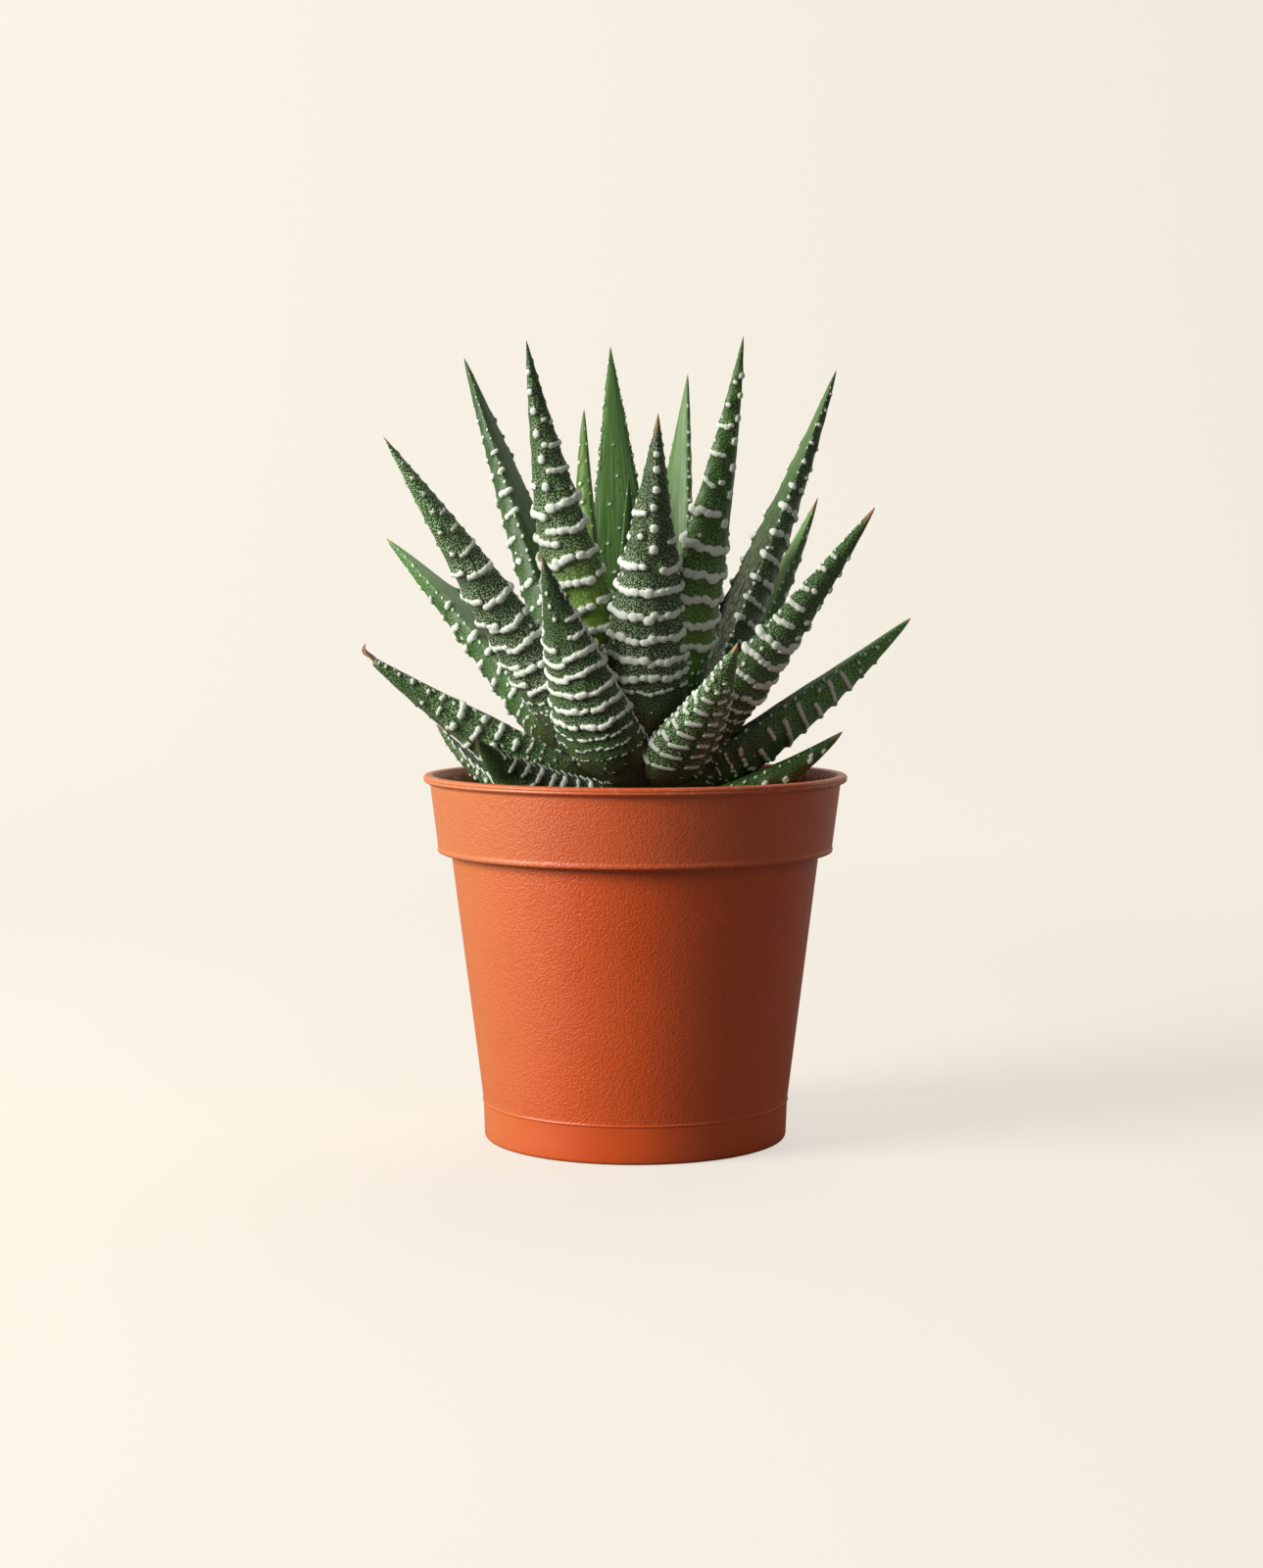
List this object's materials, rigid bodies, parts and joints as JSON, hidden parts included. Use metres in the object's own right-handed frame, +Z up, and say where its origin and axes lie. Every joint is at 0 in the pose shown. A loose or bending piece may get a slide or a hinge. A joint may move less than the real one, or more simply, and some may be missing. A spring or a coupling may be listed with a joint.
{
  "type": "potted haworthia",
  "caption": "Rosette of pointed dark green succulent leaves with white raised bands, on a short stem in potting mix, in a round terracotta-coloured plastic nursery pot.",
  "frame": {"origin": "the middle of the flat face the pot stands on, on the pot's axis", "axes": "+Z up along the pot's axis; -Y is the side of the plant that faces the viewer; +X is the viewer's right"},
  "size_m": [0.082, 0.0693, 0.1235],
  "materials": {
    "pot_plastic": "thin moulded plastic in terracotta orange, fine leather grain on the collar and body, smooth rim and base band",
    "potting_mix": "dark peaty potting mix with fibres and a few pale grains",
    "stem_skin": "short olive brown stem, hidden by the leaf bases",
    "leaf_skin": "firm green succulent skin with a fine pale speckle and raised off-white bands and dots"
  },
  "bodies": {
    "root": {"pot": "pot_plastic", "soil": "potting_mix", "stem": "stem_skin", "leaf_01": "leaf_skin", "leaf_02": "leaf_skin", "leaf_03": "leaf_skin", "leaf_04": "leaf_skin", "leaf_05": "leaf_skin", "leaf_06": "leaf_skin", "leaf_07": "leaf_skin", "leaf_08": "leaf_skin", "leaf_09": "leaf_skin", "leaf_10": "leaf_skin", "leaf_11": "leaf_skin", "leaf_12": "leaf_skin", "leaf_13": "leaf_skin", "leaf_14": "leaf_skin", "leaf_15": "leaf_skin", "leaf_16": "leaf_skin", "leaf_17": "leaf_skin", "leaf_18": "leaf_skin", "leaf_19": "leaf_skin", "leaf_20": "leaf_skin", "leaf_21": "leaf_skin", "leaf_22": "leaf_skin", "leaf_23": "leaf_skin", "leaf_24": "leaf_skin", "leaf_25": "leaf_skin", "leaf_26": "leaf_skin", "leaf_27": "leaf_skin", "leaf_28": "leaf_skin", "leaf_29": "leaf_skin", "leaf_30": "leaf_skin", "leaf_31": "leaf_skin"}
  },
  "joints": []
}
